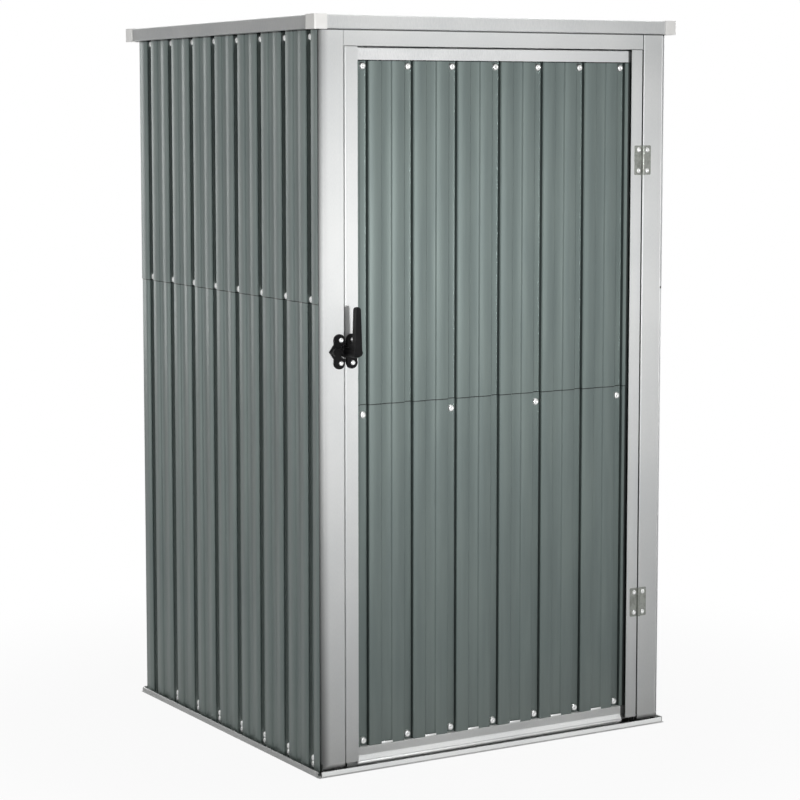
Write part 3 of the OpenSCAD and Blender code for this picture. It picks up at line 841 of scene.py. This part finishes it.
@dataclass
class Frame:
    """Silver frame: base rails, posts, girts, top rails and the lintel; sizes in millimetres."""

    members: tuple[str, ...] = (
        "base_rail_back", "base_rail_left", "base_rail_right",
        "corner_post_back_left", "corner_post_back_right",
        "wall_girt_left", "wall_girt_right", "wall_girt_back",
        "top_rail_left", "top_rail_right", "top_rail_back",
    )
    under_trim: tuple[str, ...] = ("corner_post_front_left", "door_header")
    right_post: tuple[str, ...] = ("corner_post_front_right",)
    sill: tuple[str, ...] = ("base_rail_front",)
    foot_x: Span = (382.6, 435.5)
    foot_y: Span = (-429.6, -428.4)
    foot_z: Span = (13.7, 25.95)
    foot_ease: float = 0.2

    def build(self) -> None:
        """Dresses the members and adds the feet of the front posts."""
        dress(self.members, FinishOf.FRAME)
        dress(self.under_trim, FinishOf.EAVE)
        dress(self.right_post, FinishOf.EAVE_RIGHT)
        dress(self.sill, FinishOf.SILL)
        self.feet()

    def feet(self) -> None:
        """Carries the faces of the front posts down to the sill with a thin plate each, painted darker
        towards the bottom as shade.
        """
        spans = (self.foot_x, self.foot_y, self.foot_z)
        wide, thick, tall = (high - low for low, high in spans)
        x, y, z = ((low + high) / 2 for low, high in spans)
        for side, hand in ((-1, "left"), (1, "right")):
            block = ((wide, thick, tall), (side * x, y, z))
            settle_blocks([block], self.foot_ease, f"post_foot_{hand}", Body.SHED, FinishOf.FOOT)


@dataclass
class Roof:
    """Roof sheets with their edge trims and corner caps."""

    sheets: tuple[str, ...] = ("roof_sheet_left", "roof_sheet_right")
    trims: tuple[str, ...] = ("roof_trim_front", "roof_trim_back", "roof_trim_left", "roof_trim_right")
    caps: tuple[str, ...] = (
        "roof_cap_front_left", "roof_cap_front_right", "roof_cap_back_left", "roof_cap_back_right",
    )

    def build(self) -> None:
        """Dresses the sheets, the trims and the caps."""
        dress(self.sheets, FinishOf.ROOF)
        dress(self.trims, FinishOf.TRIM)
        dress(self.caps, FinishOf.CAP)


@dataclass
class Door:
    """Door with its frame, its two sheets and their screws; sizes in millimetres."""

    groove_count: int = 7
    pitch: float = 109.5
    upper_y: float = -410.4
    lower_y: float = -409.5
    top_z: float = 1487.0
    mid_z: float = 759.5
    foot_z: float = 60.0
    screw: Screw = Screw()
    closer: Triple = (28.0, 0.9, 4.8)
    closer_y: float = -420.5
    closer_ease: float = 0.4
    ledge_z: float = 48.8
    lip: Triple = (690.0, 1.0, 6.4)
    lip_middle: Triple = (-4.5, -427.4, 17.0)
    lip_ease: float = 0.3
    finishes: dict[str, FinishOf] = field(
        default_factory=lambda: {
            "door_stile_left": FinishOf.STILE, "door_stile_right": FinishOf.STILE,
            "door_rail_top": FinishOf.TOP_RAIL, "door_rail_middle": FinishOf.FRAME,
            "door_rail_bottom": FinishOf.DRIP,
            "door_sheet_lower": FinishOf.DOOR_LOWER, "door_sheet_upper": FinishOf.DOOR_UPPER,
        }
    )

    def build(self) -> None:
        """Dresses the door, sets its screws and adds the closers and the drip lip."""
        for name, finish in self.finishes.items():
            dress([name], finish)
        across = evenly(self.groove_count, self.pitch)
        places = [(x, self.upper_y, self.top_z) for x in across]
        places += [(x, self.lower_y, self.mid_z) for x in across[::2]]
        places += [(x, self.lower_y, self.foot_z) for x in across]
        self.screw.row(places, Facing.FRONT, "door_sheet_screws", Body.DOOR)
        self.closers()
        self.drip_lip()

    def closers(self) -> None:
        """Sets the pale closing pieces on the bottom rail, one in each shallow swage."""
        z = self.ledge_z + self.closer[2] / 2
        swages = evenly(self.groove_count - 1, self.pitch)
        blocks = [(self.closer, (x, self.closer_y, z)) for x in swages]
        settle_blocks(blocks, self.closer_ease, "door_swage_closers", Body.DOOR, FinishOf.BARE)

    def drip_lip(self) -> None:
        """Adds the bright lip at the front of the drip edge, clear of the sill."""
        settle_blocks([(self.lip, self.lip_middle)], self.lip_ease, "door_drip_lip", Body.DOOR, FinishOf.BARE)


@dataclass
class Hinges:
    """Two butt hinges at the right of the door; sizes in millimetres."""

    axis_x: float = 380.5
    face_y: float = -431.6
    heights: Span = (287.0, 1284.0)
    out: float = 11.5
    up: float = 23.0
    screw: Screw = Screw(head=10.5, rise=2.6, recess=4.4, slot_w=1.1, depth=0.9)
    leaves: tuple[str, ...] = (
        "hinge_post_leaf_lower", "hinge_post_leaf_upper", "hinge_door_leaf_lower", "hinge_door_leaf_upper",
    )

    def build(self) -> None:
        """Dresses the leaves and sets their screws."""
        dress(self.leaves, FinishOf.HINGE)
        for side, owner, body in ((1, "post", Body.SHED), (-1, "door", Body.DOOR)):
            x = self.axis_x + side * self.out
            places = [(x, self.face_y, z + step) for z in self.heights for step in (-self.up, self.up)]
            self.screw.row(places, Facing.FRONT, f"hinge_{owner}_screws", body)


@dataclass
class Latch:
    """Black latch at the left of the door; sizes in millimetres."""

    axis_x: float = -381.0
    axis_z: float = 898.0
    face_y: float = -436.0
    keeper_out: float = 12.5
    base_out: float = 15.5
    up: float = 24.0
    screw: Screw = Screw(head=10.5, rise=2.8, recess=4.4, slot_w=1.1, depth=0.9)
    pieces: tuple[str, ...] = ("latch_keeper", "latch_base", "latch_lever")

    def build(self) -> None:
        """Dresses the latch and sets its screws."""
        dress(self.pieces, FinishOf.LATCH)
        for out, owner, body in ((-self.keeper_out, "keeper", Body.SHED), (self.base_out, "base", Body.DOOR)):
            places = [(self.axis_x + out, self.face_y, self.axis_z + step) for step in (-self.up, self.up)]
            self.screw.row(places, Facing.FRONT, f"latch_{owner}_screws", body)


@dataclass(frozen=True)
class Softbox:
    """One rectangular lamp; sizes in metres, power in watts and spread in degrees."""

    name: str
    place: Triple
    aim: Triple
    size: Span
    power: float
    spread: float

    def build(self) -> None:
        """Hangs the lamp."""
        data = bpy.data.lights.new(self.name, "AREA")
        data.shape = "RECTANGLE"
        data.size, data.size_y = self.size
        data.energy = self.power
        data.spread = math.radians(self.spread)
        lamp = bpy.data.objects.new(self.name, data)
        lamp.location = self.place
        look = Vector(self.aim) - Vector(self.place)
        lamp.rotation_euler = look.to_track_quat("-Z", "Y").to_euler()
        lamp.visible_camera = False
        bpy.context.scene.collection.objects.link(lamp)


@dataclass
class Studio:
    """Pale floor, soft lamps, white surroundings and the camera; sizes in metres."""

    lens: float = 108.06
    sensor: float = 36.0
    place: Triple = (-2.836611, -4.739628, 1.414392)
    turn: Triple = (83.848, 0.0, -30.996)
    shift_y: float = -0.05
    ambient: float = 0.06
    mirrored: float = 0.8
    floor_half: float = 12.0
    floor_z: float = -0.0006
    floor_grey: float = 0.65
    floor_glow: float = 0.93
    floor_fade: Span = (0.7, 1.6)
    footprint: Span = (0.452, 0.44)
    footprint_soft: Span = (0.97, 1.0)
    lamps: tuple[Softbox, ...] = (
        Softbox("key_box", (-0.83, -5.0, 1.05), (-0.09, -0.43, 1.09), (0.36, 0.2), 4.7, 29.5),
        Softbox("front_strip", (-0.6, -2.83, 1.07), (-0.6, -0.43, 1.07), (2.8, 0.3), 0.85, 56.0),
        Softbox("left_box", (-2.6, 1.5, 0.85), (-0.45, 0.0, 0.75), (1.2, 1.5), 2.8, 100.0),
        Softbox("right_box", (3.0, 0.1, 1.3), (0.45, 0.05, 0.8), (1.2, 1.8), 12.0, 110.0),
        Softbox("back_box", (0.0, 3.2, 1.4), (0.0, 0.45, 0.8), (2.0, 1.8), 14.0, 110.0),
        Softbox("top_box", (0.0, -0.2, 3.8), (0.0, -0.1, 1.5), (1.4, 1.4), 8.0, 48.0),
    )

    def build(self) -> None:
        """Sets up the floor, the surroundings, the lamps and the camera."""
        bpy.context.scene.view_settings.view_transform = "Standard"
        self.floor()
        self.surroundings()
        for lamp in self.lamps:
            lamp.build()
        self.camera()

    def white_rays(self, graph: Graph) -> Signal:
        """One for the rays that see the background as white, and less for those by gloss."""
        gloss = graph.ray("Is Glossy Ray") * self.mirrored
        return (graph.ray("Is Camera Ray") + graph.ray("Is Transmission Ray") + gloss).clamped()

    def floor(self) -> None:
        """Lays a pale floor that keeps a light shadow."""
        mesh = bmesh.new()
        bmesh.ops.create_grid(mesh, x_segments=1, y_segments=1, size=self.floor_half)
        bmesh.ops.translate(mesh, verts=mesh.verts, vec=(0.0, 0.0, self.floor_z))
        data = bpy.data.meshes.new("studio_floor")
        mesh.to_mesh(data)
        mesh.free()
        floor = bpy.data.objects.new("studio_floor", data)
        bpy.context.scene.collection.objects.link(floor)
        material = bpy.data.materials.new("studio_floor")
        material.use_nodes = True
        graph = Graph(material.node_tree)
        grey = (self.floor_grey, self.floor_grey, self.floor_grey, 1.0)
        matt = graph.node("ShaderNodeBsdfDiffuse", None, {"Color": grey})
        glow = graph.node("ShaderNodeEmission", None, {"Color": WHITE, "Strength": 1.0})
        far = graph.node("ShaderNodeVectorMath", {"operation": "LENGTH"}, {0: graph.place()}, "Value")
        bright = self.floor_glow + far.smooth(*self.floor_fade) * (1 - self.floor_glow)
        wide, deep = self.footprint
        outside = (graph.place("X").size() * (1 / wide)).most(graph.place("Y").size() * (1 / deep))
        share = self.white_rays(graph) * bright * outside.smooth(*self.footprint_soft)
        both = graph.node("ShaderNodeMixShader", None, {0: share, 1: matt, 2: glow})
        graph.node("ShaderNodeOutputMaterial", None, {"Surface": both})
        data.materials.append(material)

    def surroundings(self) -> None:
        """Makes the surroundings white to the eye and dim as a light."""
        world = bpy.data.worlds.new("studio")
        world.use_nodes = True
        bpy.context.scene.world = world
        graph = Graph(world.node_tree)
        dim = graph.node("ShaderNodeBackground", None, {"Color": WHITE, "Strength": self.ambient})
        seen = graph.node("ShaderNodeBackground", None, {"Color": WHITE, "Strength": 1.0})
        both = graph.node("ShaderNodeMixShader", None, {0: self.white_rays(graph), 1: dim, 2: seen})
        graph.node("ShaderNodeOutputWorld", None, {"Surface": both})

    def camera(self) -> None:
        """Stands the camera at the front left."""
        data = bpy.data.cameras.new("studio_camera")
        data.lens = self.lens
        data.sensor_width = self.sensor
        data.shift_y = self.shift_y
        camera = bpy.data.objects.new("studio_camera", data)
        camera.location = self.place
        camera.rotation_euler = [math.radians(a) for a in self.turn]
        bpy.context.scene.collection.objects.link(camera)
        bpy.context.scene.camera = camera


def main() -> None:
    """Builds and dresses the shed, then sets the studio round it."""
    logging.basicConfig(level=logging.INFO, format="%(name)s: %(message)s")
    for part in (Frame(), Walls(), Roof(), Door(), Hinges(), Latch(), Studio()):
        part.build()
        LOG.info("%s is done", type(part).__name__)


if __name__ == "__main__":
    main()
